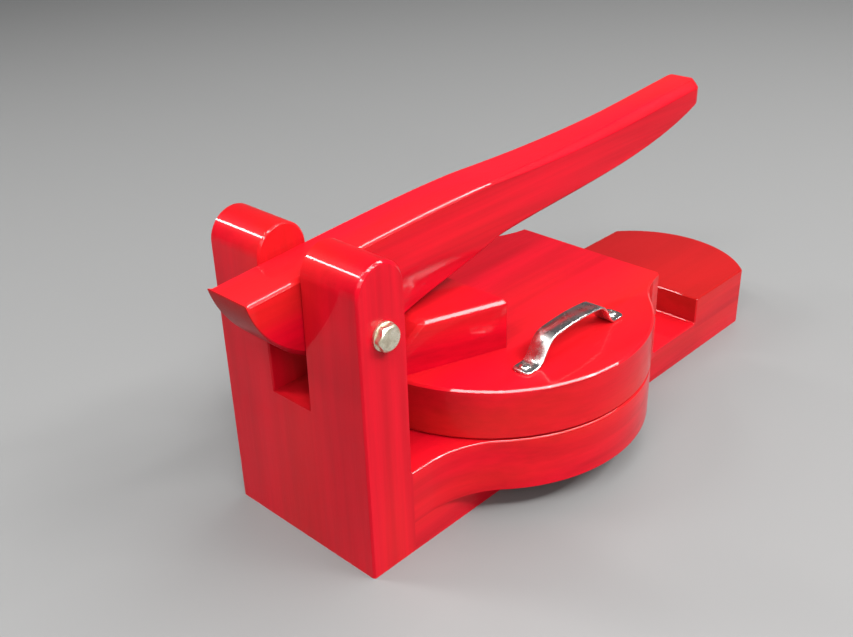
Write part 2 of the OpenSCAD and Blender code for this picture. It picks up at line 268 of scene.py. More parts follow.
def wood_figure_group() -> None:
    """Builds the group that draws wood grain.

    Fibres run along the X of its vector. Bands are the growth rings, Streaks
    the fine fibres, Patches the uneven stain, Height the relief.
    """
    ring_stretch = (2.6, 11.0, 34.0)
    fibre_stretch = (8.0, 150.0, 320.0)
    pore_stretch = (55.0, 1300.0, 1300.0)
    patch_stretch = (4.0, 9.0, 24.0)
    w = new_group("wood_figure", {"Vector": None, "Ring Count": 5.0},
                  ("Bands", "Streaks", "Patches", "Height"))
    start, end = w.tree.nodes[0], w.tree.nodes[1]
    vector = start.outputs["Vector"]
    broad = w.noise(vector, ring_stretch, detail=2.0, rough=0.45, distortion=0.25)
    rings = w.math("PINGPONG", w.math("MULTIPLY", broad, start.outputs["Ring Count"]), 0.5)
    fibres = w.noise(vector, fibre_stretch, detail=3.0, rough=0.6)
    pores = w.ramp(w.noise(vector, pore_stretch, detail=1.0), start=0.60, end=0.72)
    patches = w.noise(vector, patch_stretch, detail=1.5, rough=0.5)
    relief = w.math("SUBTRACT", w.math("MULTIPLY", fibres, 0.6), w.math("MULTIPLY", pores, 0.5))
    w.feed_all(end, {"Bands": w.ramp(rings, start=0.04, end=0.46),
                     "Streaks": w.ramp(fibres, start=0.30, end=0.72),
                     "Patches": w.ramp(patches, start=0.36, end=0.68),
                     "Height": relief})


def surface_wear_group() -> None:
    """Builds the group for brush marks, smudges and fine scratches.

    Smudge is for roughness, Scratch for thin marks and Ripple for the slow
    waves of a brushed coat.
    """
    smudge_stretch = (34.0, 34.0, 34.0)
    scratch_stretch = (40.0, 900.0, 420.0)
    ripple_stretch = (26.0, 60.0, 60.0)
    w = new_group("surface_wear", {"Vector": None, "Scale": 1.0}, ("Smudge", "Scratch", "Ripple"))
    start, end = w.tree.nodes[0], w.tree.nodes[1]
    scaled = w.add("ShaderNodeVectorMath", operation="SCALE")
    w.feed_all(scaled, {0: start.outputs["Vector"], "Scale": start.outputs["Scale"]})
    vector = scaled.outputs[0]
    smudge = w.ramp(w.noise(vector, smudge_stretch, detail=4.0, rough=0.6), start=0.35, end=0.70)
    scratch = w.ramp(w.noise(vector, scratch_stretch, detail=2.0), start=0.66, end=0.78)
    ripple = w.noise(vector, ripple_stretch, detail=1.0)
    w.feed_all(end, {"Smudge": smudge, "Scratch": scratch, "Ripple": ripple})


# ------------------------------------------------------------ finishes

def blank_material(name: str) -> tuple[Material, Wiring, bpy.types.Node]:
    """Starts a material.

    Args:
        name: The material's name.

    Returns:
        The material, the wiring of its tree and its Principled BSDF.
    """
    material = bpy.data.materials.new(name)
    material.use_nodes = True
    return material, Wiring(material.node_tree), material.node_tree.nodes["Principled BSDF"]


@dataclass(frozen=True)
class StainedWood:
    """Red stain and gloss lacquer on one board, with its own grain.

    The depths are the shares of a colour where its pattern is strongest. The
    coats are the lacquer's weight on flat, upright and downward faces, and
    end_loss is what the end grain drinks of it.
    """

    name: str
    stain: Colour = (0.46, 0.0014, 0.011)
    deep: Colour = (0.23, 0.0014, 0.005)
    pale: Colour = (0.55, 0.020, 0.007)
    end_grain: Colour = (0.14, 0.004, 0.003)
    dull: Colour = (0.19, 0.004, 0.003)
    run: GrainRun = GrainRun.ALONG
    shift: Point3 = (0.0, 0.0, 0.0)
    ring_count: float = 5.0
    band_depth: float = 0.34
    streak_depth: float = 0.30
    pale_depth: float = 0.30
    end_depth: float = 0.40
    dull_from: float | None = None
    dull_flat: float = 0.85
    dull_upright: float = 0.25
    dull_patches: float = 0.18
    roughness: float = 0.30
    smudging: float = 0.10
    specular: float = 0.05
    coat_ior: float = 1.27
    coat_roughness: float = 0.05
    flat_coat: float = 1.0
    upright_coat: float = 0.50
    under_coat: float = 0.12
    end_loss: float = 0.75

    def turned(self, w: Wiring, vector: Socket, kind: str) -> bpy.types.Node:
        """Turns a vector so that the fibres run along its X.

        Args:
            w: The material's wiring.
            vector: The vector.
            kind: POINT for a place, VECTOR for a direction.

        Returns:
            The Mapping node.
        """
        turn = w.add("ShaderNodeMapping", vector_type=kind)
        w.feed_all(turn, {"Vector": vector, "Rotation": self.run.value})
        return turn

    def tone(self, w: Wiring, figure: bpy.types.Node) -> Socket:
        """The stain, darker on rings and fibres and paler in patches.

        Args:
            w: The material's wiring.
            figure: The wood figure.

        Returns:
            The colour.
        """
        bands = w.math("MULTIPLY", figure.outputs["Bands"], self.band_depth)
        streaks = w.math("MULTIPLY", figure.outputs["Streaks"], self.streak_depth)
        dark = w.math("ADD", bands, streaks, clamp=True)
        light = w.math("MULTIPLY", figure.outputs["Patches"], self.pale_depth)
        return w.mix(light, w.mix(dark, self.stain, self.deep), self.pale)

    def dulled(self, w: Wiring, colour: Socket, along: Socket, flat: Socket, patches: Socket) -> Socket:
        """Dulls the colour beyond a place, most of all on flat faces.

        Args:
            w: The material's wiring.
            colour: The colour.
            along: The place along X.
            flat: How flat the face lies.
            patches: Where the stain is uneven.

        Returns:
            The dulled colour.
        """
        beyond = w.ramp(along, self.dull_from, self.dull_from + 2 * MM)
        faded = w.math("MULTIPLY_ADD", flat, self.dull_flat - self.dull_upright, self.dull_upright)
        faded = w.math("SUBTRACT", faded, w.math("MULTIPLY", patches, self.dull_patches))
        return w.mix(w.math("MULTIPLY", beyond, faded), colour, self.dull)

    def coat(self, w: Wiring, flat: Socket, under: Socket, ends: Socket) -> Socket:
        """The lacquer's weight on a face.

        Args:
            w: The material's wiring.
            flat: How flat the face lies.
            under: How much it looks down.
            ends: How much end grain it shows.

        Returns:
            The weight.
        """
        weight = w.math("MULTIPLY_ADD", flat, self.flat_coat - self.upright_coat, self.upright_coat)
        weight = w.math("MULTIPLY_ADD", under, self.under_coat - self.upright_coat, weight)
        return w.math("MULTIPLY", weight, w.math("MULTIPLY_ADD", ends, -self.end_loss, 1.0))

    def build(self) -> Material:
        """Makes the material.

        Returns:
            The material.
        """
        material, w, surface = blank_material(self.name)
        place = w.add("ShaderNodeTexCoord")
        turn = self.turned(w, place.outputs["Object"], "POINT")
        turn.inputs["Location"].default_value = self.shift
        figure = w.group("wood_figure", {"Vector": turn.outputs[0], "Ring Count": self.ring_count})
        wear = w.group("surface_wear", {"Vector": turn.outputs[0]})
        facing = self.turned(w, place.outputs["Normal"], "VECTOR")
        ends = w.ramp(w.math("ABSOLUTE", w.axis(facing.outputs[0], "X")), start=0.72, end=0.97)
        level = w.axis(place.outputs["Normal"], "Z")
        flat = w.ramp(level, start=0.12, end=0.35)
        under = w.ramp(level, start=-0.12, end=-0.35)
        colour = self.tone(w, figure)
        if self.dull_from is not None:
            along = w.axis(place.outputs["Object"], "X")
            colour = self.dulled(w, colour, along, flat, figure.outputs["Patches"])
        grain = w.bump(figure.outputs["Height"], strength=0.25, depth=0.15 * MM)
        w.feed_all(surface, {
            "Base Color": w.mix(w.math("MULTIPLY", ends, self.end_depth), colour, self.end_grain),
            "Roughness": w.math("MULTIPLY_ADD", wear.outputs["Smudge"], self.smudging, self.roughness),
            "Specular IOR Level": self.specular,
            "Coat Weight": self.coat(w, flat, under, ends),
            "Coat Roughness": self.coat_roughness,
            "Coat IOR": self.coat_ior,
            "Normal": w.bump(wear.outputs["Ripple"], strength=0.35, depth=0.5 * MM, under=grain),
        })
        return material


@dataclass(frozen=True)
class BareWood:
    """Unstained dowel wood."""

    name: str
    light: Colour = (0.62, 0.45, 0.26)
    dark: Colour = (0.42, 0.27, 0.13)
    roughness: float = 0.6

    def build(self) -> Material:
        """Makes the material.

        Returns:
            The material.
        """
        material, w, surface = blank_material(self.name)
        place = w.add("ShaderNodeTexCoord")
        figure = w.group("wood_figure", {"Vector": place.outputs["Object"]})
        w.feed_all(surface, {"Base Color": w.mix(figure.outputs["Streaks"], self.light, self.dark),
                             "Roughness": self.roughness})
        return material


@dataclass(frozen=True)
class PlatedMetal:
    """Metal with a plated or polished skin and light handling marks."""

    name: str
    colour: Colour
    tarnish: Colour
    roughness: float
    marks: float = 0.12
    tarnish_depth: float = 0.35
    scale: float = 4.0

    def build(self) -> Material:
        """Makes the material.

        Returns:
            The material.
        """
        material, w, surface = blank_material(self.name)
        place = w.add("ShaderNodeTexCoord")
        wear = w.group("surface_wear", {"Vector": place.outputs["Object"], "Scale": self.scale})
        smudge, scratch = wear.outputs["Smudge"], wear.outputs["Scratch"]
        stain = w.math("MULTIPLY", smudge, self.tarnish_depth)
        worn = w.math("ADD", smudge, scratch, clamp=True)
        w.feed_all(surface, {
            "Base Color": w.mix(stain, self.colour, self.tarnish),
            "Roughness": w.math("MULTIPLY_ADD", worn, self.marks, self.roughness),
            "Metallic": 1.0,
            "Normal": w.bump(scratch, strength=0.15, depth=0.1 * MM),
        })
        return material


class Finishes:
    """Every material of the press, made once."""

    def __init__(self) -> None:
        """Builds the node groups and the materials."""
        wood_figure_group()
        surface_wear_group()
        self.board = StainedWood("red_board", shift=(0.3, 0.12, 0.05), dull_from=157 * MM).build()
        self.runner = StainedWood("red_runner", shift=(1.1, 0.4, 0.7)).build()
        self.post = StainedWood("red_post", run=GrainRun.UPRIGHT, shift=(0.7, 0.2, 0.9),
                                band_depth=0.24).build()
        self.platen = StainedWood("red_platen", shift=(2.2, 0.9, 0.3)).build()
        self.block = StainedWood("red_block", shift=(0.4, 1.7, 1.3)).build()
        self.lever = StainedWood("red_lever", shift=(3.1, 0.5, 2.2)).build()
        self.dowel = BareWood("bare_dowel").build()
        self.steel = PlatedMetal("polished_steel", (0.66, 0.65, 0.63), (0.46, 0.43, 0.41), 0.20,
                                 marks=0.14, tarnish_depth=0.25).build()
        self.pivot = PlatedMetal("yellow_zinc", (0.80, 0.76, 0.62), (0.42, 0.37, 0.25), 0.26,
                                 marks=0.25, tarnish_depth=0.75, scale=6.0).build()
        self.hinge = PlatedMetal("plain_zinc", (0.68, 0.67, 0.64), (0.44, 0.43, 0.40), 0.30).build()
        self.screw = PlatedMetal("screw_zinc", (0.72, 0.70, 0.64), (0.48, 0.46, 0.40), 0.28).build()


# ------------------------------------------------------------ outlines

def arc(centre: Point2, radius: float, start: float, end: float, steps: int) -> list[Point2]:
    """Points on an arc between two angles in degrees, with both ends."""
    angles = [math.radians(start + (end - start) * i / steps) for i in range(steps + 1)]
    return [(centre[0] + radius * math.cos(a), centre[1] + radius * math.sin(a)) for a in angles]


def circle(radius: float, sides: int) -> list[Point2]:
    """Points of a whole circle round the origin, each one once."""
    return arc((0.0, 0.0), radius, 0.0, 360.0, sides)[:-1]


def bezier(control: Sequence[Point2], steps: int) -> list[Point2]:
    """Points on a cubic Bezier curve, without its last one.

    Args:
        control: Its four control points.
        steps: The number of points.

    Returns:
        The points.
    """
    points = []
    for i in range(steps):
        t = i / steps
        weights = ((1 - t) ** 3, 3 * t * (1 - t) ** 2, 3 * t * t * (1 - t), t ** 3)
        points.append(tuple(sum(k * p[axis] for k, p in zip(weights, control)) for axis in (0, 1)))
    return points


def mirrored(upper: Sequence[Point2]) -> list[Point2]:
    """The outline closed by its own reflection across the X axis."""
    return list(upper) + [(x, -y) for x, y in reversed(upper) if abs(y) > 1e-7]


def height_at(path: Sequence[Point2], x: float) -> float:
    """Height of a path at one place.

    Args:
        path: Its points, with X rising all along.
        x: The place.

    Returns:
        The height, level beyond both ends.
    """
    if x <= path[0][0]:
        return path[0][1]
    for (x0, z0), (x1, z1) in zip(path, path[1:]):
        if x <= x1:
            return z0 + (z1 - z0) * (x - x0) / max(x1 - x0, 1e-9)
    return path[-1][1]


def share_of(value: float, start: float, length: float) -> float:
    """How far a value has come along a length, from 0 to 1."""
    return min(max((value - start) / length, 0.0), 1.0)


def worn_corner(start: Point2, corner: Point2, end: Point2, steps: int,
                fullness: float = 0.12) -> list[Point2]:
    """A corner rounded by sanding; fullness is 0 for a chamfer and 0.55 for a quarter circle."""
    lean = [tuple(p + (c - p) * fullness for p, c in zip(side, corner)) for side in (start, end)]
    return bezier([start, lean[0], lean[1], end], steps) + [end]


def rounded_section(half: float, top: float, bottom: float, top_r: float, bottom_r: float,
                    steps: int = 5) -> list[Point2]:
    """A rounded rectangle as (across, up) points.

    Args:
        half: Half its width.
        top: Its upper side.
        bottom: Its lower side.
        top_r: Radius of the upper corners.
        bottom_r: Radius of the lower corners.
        steps: Facets of each corner.

    Returns:
        The points, counter-clockwise from the lower right corner.
    """
    room = min(half, (top - bottom) / 2) * CORNER_ROOM
    upper, lower = min(top_r, room), min(bottom_r, room)
    right = (worn_corner((half - lower, bottom), (half, bottom), (half, bottom + lower), steps)
             + worn_corner((half, top - upper), (half, top), (half - upper, top), steps))
    return right + [(-y, z) for y, z in reversed(right)]


# ------------------------------------------------------------ meshes

def object_of(name: str, data: bpy.types.ID) -> Object:
    """Makes an object and links it to the scene.

    Args:
        name: The object's name.
        data: Its mesh, lamp or camera.

    Returns:
        The object.
    """
    item = bpy.data.objects.new(name, data)
    bpy.context.scene.collection.objects.link(item)
    return item


def from_bmesh(name: str, shape: bmesh.types.BMesh) -> Object:
    """Turns a bmesh into an object with outward faces.

    Args:
        name: The object's name.
        shape: The bmesh, which is freed.

    Returns:
        The object.
    """
    bmesh.ops.remove_doubles(shape, verts=shape.verts, dist=MERGE)
    bmesh.ops.recalc_face_normals(shape, faces=shape.faces)
    mesh = bpy.data.meshes.new(name)
    shape.to_mesh(mesh)
    shape.free()
    return object_of(name, mesh)


def loft(name: str, rings: Sequence[Sequence[Vector]]) -> Object:
    """Skins a row of closed rings and closes both ends.

    Args:
        name: The object's name.
        rings: Rings with the same number of points.

    Returns:
        The object.
    """
    shape = bmesh.new()
    rows = [[shape.verts.new(p) for p in ring] for ring in rings]
    count = len(rows[0])
    for first, second in zip(rows, rows[1:]):
        for i in range(count):
            j = (i + 1) % count
            shape.faces.new((first[i], first[j], second[j], second[i]))
    shape.faces.new(rows[0])
    shape.faces.new(list(reversed(rows[-1])))
    return from_bmesh(name, shape)


def prism(name: str, outline: Sequence[Point2], low: float, high: float,
          upright: Callable[[Point2, float], Vector] = lambda p, h: Vector((*p, h))) -> Object:
    """Extrudes an outline.

    Args:
        name: The object's name.
        outline: Its points in order.
        low: Where the extrusion starts.
        high: Where it ends.
        upright: Gives the place of an outline point at a height.

    Returns:
        The object.
    """
    shape = bmesh.new()
    floor = [shape.verts.new(upright(p, low)) for p in outline]
    roof = [shape.verts.new(upright(p, high)) for p in outline]
    shape.faces.new(list(reversed(floor)))
    shape.faces.new(roof)
    for i in range(len(outline)):
        j = (i + 1) % len(outline)
        shape.faces.new((floor[i], floor[j], roof[j], roof[i]))
    return from_bmesh(name, shape)


def across(point: Point2, y: float) -> Vector:
    """The place of an outline point when the outline stands along X and Z."""
    return Vector((point[0], y, point[1]))


def block(low: Point3, high: Point3) -> Object:
    """A box between two corners, used to cut other pieces."""
    corners = [(low[0], low[1]), (high[0], low[1]), (high[0], high[1]), (low[0], high[1])]
    return prism("cutter", corners, low[2], high[2])


def rod(centre: Vector, axis: Vector, radius: float, length: float, sides: int = 48) -> Object:
    """A cylinder, used to cut other pieces.

    Args:
        centre: Its middle.
        axis: The way it points.
        radius: Its radius.
        length: Its length.
        sides: Its number of sides.

    Returns:
        The object.
    """
    turn = axis.to_track_quat("Z", "Y").to_matrix()
    return prism("cutter", circle(radius, sides), -length / 2, length / 2,
                 lambda p, h: centre + turn @ Vector((*p, h)))


def freeze(item: Object) -> None:
    """Turns an object's modifiers into plain mesh.

    Args:
        item: The object.
    """
    evaluated = item.evaluated_get(bpy.context.evaluated_depsgraph_get())
    mesh = bpy.data.meshes.new_from_object(evaluated)
    item.modifiers.clear()
    item.data = mesh


def carve(item: Object, cutters: Iterable[Object]) -> None:
    """Cuts other objects out of an object and removes them.

    Args:
        item: The object.
        cutters: What is cut out of it.
    """
    for cutter in cutters:
        cut = item.modifiers.new("cut", "BOOLEAN")
        cut.operation = "DIFFERENCE"
        cut.solver = "EXACT"
        cut.object = cutter
        freeze(item)
        bpy.data.objects.remove(cutter)


def ease(item: Object, width: float, segments: int = 4, sharp: float = 32.0,
         share: Callable[[Vector, Vector], float] = lambda start, end: 1.0,
         split: float | None = None) -> None:
    """Rounds the object's sharp edges, a little flatter than a quarter circle.

    Args:
        item: The object.
        width: Radius of the rounding.
        segments: Its number of facets.
        sharp: Edges with a larger angle than this, in degrees, are rounded.
        share: Tells from an edge's two ends how much of the width it gets.
        split: Height at which upright edges are parted first, so that they
            can be eased above it alone.
    """
    shape = bmesh.new()
    shape.from_mesh(item.data)
    bmesh.ops.remove_doubles(shape, verts=shape.verts, dist=2 * MERGE)
    bmesh.ops.dissolve_limit(shape, angle_limit=FLAT_ANGLE, verts=shape.verts, edges=shape.edges)
    if split is not None:
        bmesh.ops.bisect_plane(shape, geom=shape.verts[:] + shape.edges[:] + shape.faces[:],
                               dist=1e-7, plane_co=(0.0, 0.0, split), plane_no=(0.0, 0.0, 1.0))
    layers = shape.edges.layers.float
    weight = layers.get("bevel_weight_edge") or layers.new("bevel_weight_edge")
    limit = math.radians(sharp)
    for edge in shape.edges:
        rounded = len(edge.link_faces) == 2 and edge.calc_face_angle() > limit
        ends = (edge.verts[0].co, edge.verts[1].co)
        edge[weight] = share(*ends) if rounded else 0.0
    shape.to_mesh(item.data)
    shape.free()
    bevel = item.modifiers.new("ease", "BEVEL")
    bevel.limit_method = "WEIGHT"
    bevel.width = width
    bevel.segments = segments
    bevel.profile = 0.26
    bevel.miter_outer = "MITER_ARC"
    bevel.use_clamp_overlap = True
    freeze(item)


def shade(item: Object, crisp: float) -> None:
    """Shades an object smooth, with edges over a crisp angle in degrees left sharp."""
    item.data.shade_smooth()
    item.data.set_sharp_from_angle(angle=math.radians(crisp))


def flatten(item: Object) -> None:
    """Shades an object smooth, with its large faces flat.

    Args:
        item: The object.
    """
    shade(item, crisp=50.0)
    weigh = item.modifiers.new("weigh", "WEIGHTED_NORMAL")
    weigh.keep_sharp = True
    weigh.weight = 80
    freeze(item)


def dress(item: Object, material: Material, body: str, node: str) -> None:
    """Finishes a piece.

    Args:
        item: The piece.
        material: Its material.
        body: The body that it rides on.
        node: The construction node that it stands for.
    """
    item.data.materials.clear()
    item.data.materials.append(material)
    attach(item, body)
    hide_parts(node)
    log.info("%s rides on %s, %d faces", item.name, body, len(item.data.polygons))


def paint(node: str, material: Material) -> None:
    """Gives a construction node its material.

    Args:
        node: The node's name.
        material: The material.
    """
    for slot in frame["nodes"][node].material_slots:
        slot.link = "OBJECT"
        slot.material = material
    log.info("%s keeps its own shape", node)


def pivot_place() -> Vector:
    """Where the lever's pivot is."""
    return Vector(next(j for j in frame["joints"] if j["name"] == "lever_pivot")["pos_m"])


# ------------------------------------------------------------ fasteners

@dataclass(frozen=True)
class ScrewForm:
    """Turned outline of a wood screw with a cross recess, pointing along -Z.

    The shares are of the length, of the shank's radius and, for the recess,
    of the head's radius.
    """

    head_radius: float
    length: float
    dome: float
    countersunk: bool
    shank_radius: float = 1.75 * MM
    tip_share: float = 0.16
    plain_share: float = 0.30
    pitch_share: float = 0.9
    root_share: float = 0.74
    recess_reach: float = 0.55
    recess_width: float = 0.11
    recess_depth: float = 1.0 * MM
    rim: float = 0.05 * MM
    least_dome: float = 0.02 * MM
    crown_angles: Sequence[float] = (18.0, 36.0, 54.0, 72.0)
    sides: int = 24

    def profile(self) -> list[Point2]:
        """The screw's outline.

        Returns:
            Radius and height, from its point to the crown.
        """
        level = -self.length + self.length * self.tip_share
        points = [(0.0, -self.length), (self.shank_radius, level)]
        pitch = self.shank_radius * self.pitch_share
        root = self.shank_radius * self.root_share
        while level + pitch < -self.length * self.plain_share:
            points += [(root, level + pitch * 0.5), (self.shank_radius, level + pitch)]
            level += pitch
        if self.countersunk:
            points += [(self.shank_radius, self.shank_radius - self.head_radius),
                       (self.head_radius, -self.rim), (self.head_radius, 0.0)]
        else:
            points += [(self.shank_radius, 0.0), (self.head_radius, 0.0)]
        rise = max(self.dome, self.least_dome)
        points += [(self.head_radius * math.cos(a), rise * math.sin(a))
                   for a in map(math.radians, self.crown_angles)]
        points.append((0.0, rise))
        return points

    def build(self, name: str) -> Object:
        """Turns the outline and cuts the recess.

        Args:
            name: The object's name.

        Returns:
            The screw.
        """
        shape = bmesh.new()
        rows = []
        for radius, level in self.profile():
            if radius == 0.0:
                rows.append([shape.verts.new((0.0, 0.0, level))] * self.sides)
            else:
                rows.append([shape.verts.new((x, y, level)) for x, y in circle(radius, self.sides)])
        for first, second in zip(rows, rows[1:]):
            for i in range(self.sides):
                j = (i + 1) % self.sides
                shape.faces.new(tuple(dict.fromkeys((first[i], first[j], second[j], second[i]))))
        item = from_bmesh(name, shape)
        reach, half = self.head_radius * self.recess_reach, self.head_radius * self.recess_width
        low, high = self.dome - self.recess_depth, self.dome + MM
        carve(item, [block((-reach, -half, low), (reach, half, high)),
                     block((-half, -reach, low), (half, reach, high))])
        return item


def screw_set_tree() -> bpy.types.NodeTree:
    """Builds the Geometry Nodes tree that sets one screw on every point.

    Returns:
        A tree with the inputs Screw, Direction, Twist, Seed and Finish.
    """
    inputs = {"Geometry": "Geometry", "Screw": "Object", "Direction": "Rotation",
              "Twist": "Float", "Seed": "Int", "Finish": "Material"}
    defaults = {"Twist": math.pi, "Seed": 3}
    tree = bpy.data.node_groups.new("screw_set", "GeometryNodeTree")
    for key, kind in inputs.items():
        socket = tree.interface.new_socket(key, in_out="INPUT", socket_type="NodeSocket" + kind)
        if key in defaults:
            socket.default_value = defaults[key]
    tree.interface.new_socket("Geometry", in_out="OUTPUT", socket_type="NodeSocketGeometry")
    w = Wiring(tree)
    start, end = w.add("NodeGroupInput"), w.add("NodeGroupOutput")
    given = start.outputs
    source = w.add("GeometryNodeObjectInfo")
    w.feed(source.inputs["Object"], given["Screw"])
    twist = w.add("FunctionNodeRandomValue", data_type="FLOAT")
    w.feed_all(twist, {3: given["Twist"], "Seed": given["Seed"]})
    angle = w.add("ShaderNodeCombineXYZ")
    w.feed(angle.inputs["Z"], twist.outputs[1])
    turn = w.add("FunctionNodeEulerToRotation")
    w.feed(turn.inputs[0], angle.outputs[0])
    spin = w.add("FunctionNodeRotateRotation", rotation_space="LOCAL")
    w.feed_all(spin, {"Rotation": given["Direction"], "Rotate By": turn.outputs[0]})
    place = w.add("GeometryNodeInstanceOnPoints")
    w.feed_all(place, {"Points": given["Geometry"], "Instance": source.outputs["Geometry"],
                       "Rotation": spin.outputs[0]})
    solid = w.add("GeometryNodeRealizeInstances")
    w.feed(solid.inputs[0], place.outputs[0])
    finish = w.add("GeometryNodeSetMaterial")
    w.feed_all(finish, {"Geometry": solid.outputs[0], "Material": given["Finish"]})
    w.feed(end.inputs[0], finish.outputs[0])
    return tree


def set_screws(name: str, form: ScrewForm, places: Sequence[Point3],
               direction: Point3, material: Material) -> Object:
    """Sets one screw at every place.

    Args:
        name: The object's name.
        form: The screw's form.
        places: Where the heads sit.
        direction: Euler turn that brings the screw's head to face its way.
        material: The screws' finish.

    Returns:
        One mesh with all the screws.
    """
    screw = form.build(name + "_form")
    points = bpy.data.meshes.new(name)
    points.from_pydata(places, [], [])
    item = object_of(name, points)
    tree = bpy.data.node_groups.get("screw_set") or screw_set_tree()
    nodes = item.modifiers.new("screws", "NODES")
    nodes.node_group = tree
    keys = {s.name: s.identifier for s in tree.interface.items_tree if s.in_out == "INPUT"}
    nodes[keys["Screw"]] = screw
    nodes[keys["Direction"]] = direction
    nodes[keys["Finish"]] = material
    freeze(item)
    bpy.data.objects.remove(screw)
    shade(item, crisp=35.0)
    return item


# ------------------------------------------------------------ sub-assemblies

@dataclass
class Base:
    """Base board, runner and clevis post."""

    flare_radius: float = 60 * MM
    end_radius: float = 72 * MM
    notch_length: float = 53 * MM
    notch_floor: float = 23 * MM
    far_top: float = 42 * MM
    hinge_wall: float = 105 * MM
    slot_width: float = 30 * MM
    slot_floor: float = 87 * MM
    bore: float = 4.05 * MM
    edge: float = 1.3 * MM
    runner_edge: float = 1.0 * MM
    post_edge: float = 1.9 * MM
    corner_share: float = 0.55
    corner_fade: float = 6 * MM
    slot_edge: float = 1.4 * MM
    screw_head: float = 3.5 * MM
    screw_length: float = 30 * MM
    screw_seat: float = 1.0 * MM
    inner_screws: float = 0.4
    well_radius: float = 3.6 * MM
    well_depth: float = 2.2 * MM
    body: str = "base"
    neck: float = field(init=False)
    radius: float = field(init=False)

    def __post_init__(self) -> None:
        """Reads the widths from the construction."""
        self.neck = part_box("base_runner")[1][1]
        self.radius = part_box("upper_platen")[1][1]

    def flare(self) -> list[Point2]:
        """The flare at +X and +Y.

        Returns:
            Its points, from the neck to the round board.
        """
        reach = self.radius + self.flare_radius
        centre_y = self.neck + self.flare_radius
        centre_x = math.sqrt(reach ** 2 - centre_y ** 2)
        touch = math.degrees(math.atan2(-centre_y, -centre_x))
        return arc((centre_x, centre_y), self.flare_radius, -90.0, touch, steps=18)

    def round_edge(self) -> list[Point2]:
        """The round board's edge at +Y.

        Returns:
            Its points, from the flare at +X to the one at -X.
        """
        x, y = self.flare()[-1]
        start = math.degrees(math.atan2(y, x))
        return arc((0.0, 0.0), self.radius, start, 180.0 - start, steps=72)[1:-1]

    def arc_end(self) -> list[Point2]:
        """The arc-shaped end at +Y.

        Returns:
            Its points, from the tip to the side.
        """
        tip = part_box("base_runner")[1][0]
        turn = math.degrees(math.asin(self.neck / self.end_radius))
        return arc((tip - self.end_radius, 0.0), self.end_radius, 0.0, turn, steps=24)

    def is_glued(self, start: Vector, end: Vector, level: float) -> bool:
        """Whether an edge lies in the joint at a level, or against the post."""
        flat = max(abs(start.z - level), abs(end.z - level)) < MM
        return flat or max(start.x, end.x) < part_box("clevis_post")[1][0] + NEAR

    def board(self) -> Object:
        """The base board with its notch and its lowered far block.

        Returns:
            The object.
        """
        low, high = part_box("base_board")
        flare = self.flare()
        upper = self.arc_end() + flare + self.round_edge() + [(-x, y) for x, y in reversed(flare)]
        upper.append((low[0], self.neck))
        item = prism("base_board_eased", mirrored(upper), low[2], high[2])
        wide = 2 * self.radius
        far_x = self.hinge_wall + self.notch_length
        carve(item, [block((self.hinge_wall, -wide, self.notch_floor), (far_x, wide, wide)),
                     block((far_x - MM, -wide, self.far_top), (2 * wide, wide, wide))])
        ease(item, self.edge, share=lambda a, b: float(not self.is_glued(a, b, low[2])))
        flatten(item)
        return item

    def runner_screws(self) -> list[Point2]:
        """Places of the screws under the runner.

        Returns:
            Their X and Y.
        """
        low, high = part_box("runner_screws")
        left, right = low[0] + self.screw_head, high[0] - self.screw_head
        inner = self.radius * self.inner_screws
        side = high[1] - self.screw_head
        return [(x, s * side) for x in (left, -inner, inner, right) for s in (-1, 1)]

    def runner(self) -> Object:
        """The straight runner, with wells for its screws.

        Returns:
            The object.
        """
        low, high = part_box("base_runner")
        outline = mirrored(self.arc_end() + [(low[0], self.neck)])
        item = prism("base_runner_eased", outline, low[2], high[2])
        ease(item, self.runner_edge, segments=3,
             share=lambda a, b: float(not self.is_glued(a, b, high[2]) and max(a.z, b.z) > MM))
        carve(item, [rod(Vector((x, y, 0.0)), Vector((0, 0, 1)), self.well_radius, 2 * self.well_depth)
                     for x, y in self.runner_screws()])
        flatten(item)
        return item

    def post_share(self, start: Vector, end: Vector) -> float:
        """How much of the easing a post edge gets.

        Args:
            start: One end of the edge.
            end: Its other end.

        Returns:
            Nothing at the foot and against the board, little up the corners and
            all of it round the arches.
        """
        low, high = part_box("clevis_post")
        top = max(start.z, end.z)
        against = min(start.x, end.x) > high[0] - NEAR
        if top < MM or (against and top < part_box("base_board")[1][2] + NEAR):
            return 0.0
        spring = high[2] - (high[0] - low[0]) / 2
        return self.corner_share + (1.0 - self.corner_share) * share_of(top, spring, self.corner_fade)

    def slot_share(self, start: Vector, end: Vector) -> float:
        """All of the easing on the slot's walls above its floor, and none elsewhere."""
        off_wall = max(abs(abs(p.y) - self.slot_width / 2) for p in (start, end))
        return float(off_wall < NEAR and max(start.z, end.z) > self.slot_floor + MM)

    def post(self) -> Object:
        """The clevis post with its round-topped cheeks.

        Returns:
            The object.
        """
        low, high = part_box("clevis_post")
        radius = (high[0] - low[0]) / 2
        crown = arc((low[0] + radius, high[2] - radius), radius, 0, 180, steps=40)
        outline = [(low[0], low[2]), (high[0], low[2])] + crown
        item = prism("clevis_post_eased", outline, low[1], high[1], across)
        ease(item, self.post_edge, share=self.post_share, split=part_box("base_board")[1][2])
        half = self.slot_width / 2
        carve(item, [block((low[0] - MM, -half, self.slot_floor), (high[0] + MM, half, 1.0))])
        ease(item, self.slot_edge, share=self.slot_share)
        carve(item, [rod(pivot_place(), Vector((0, 1, 0)), self.bore, THROUGH)])
        flatten(item)
        return item

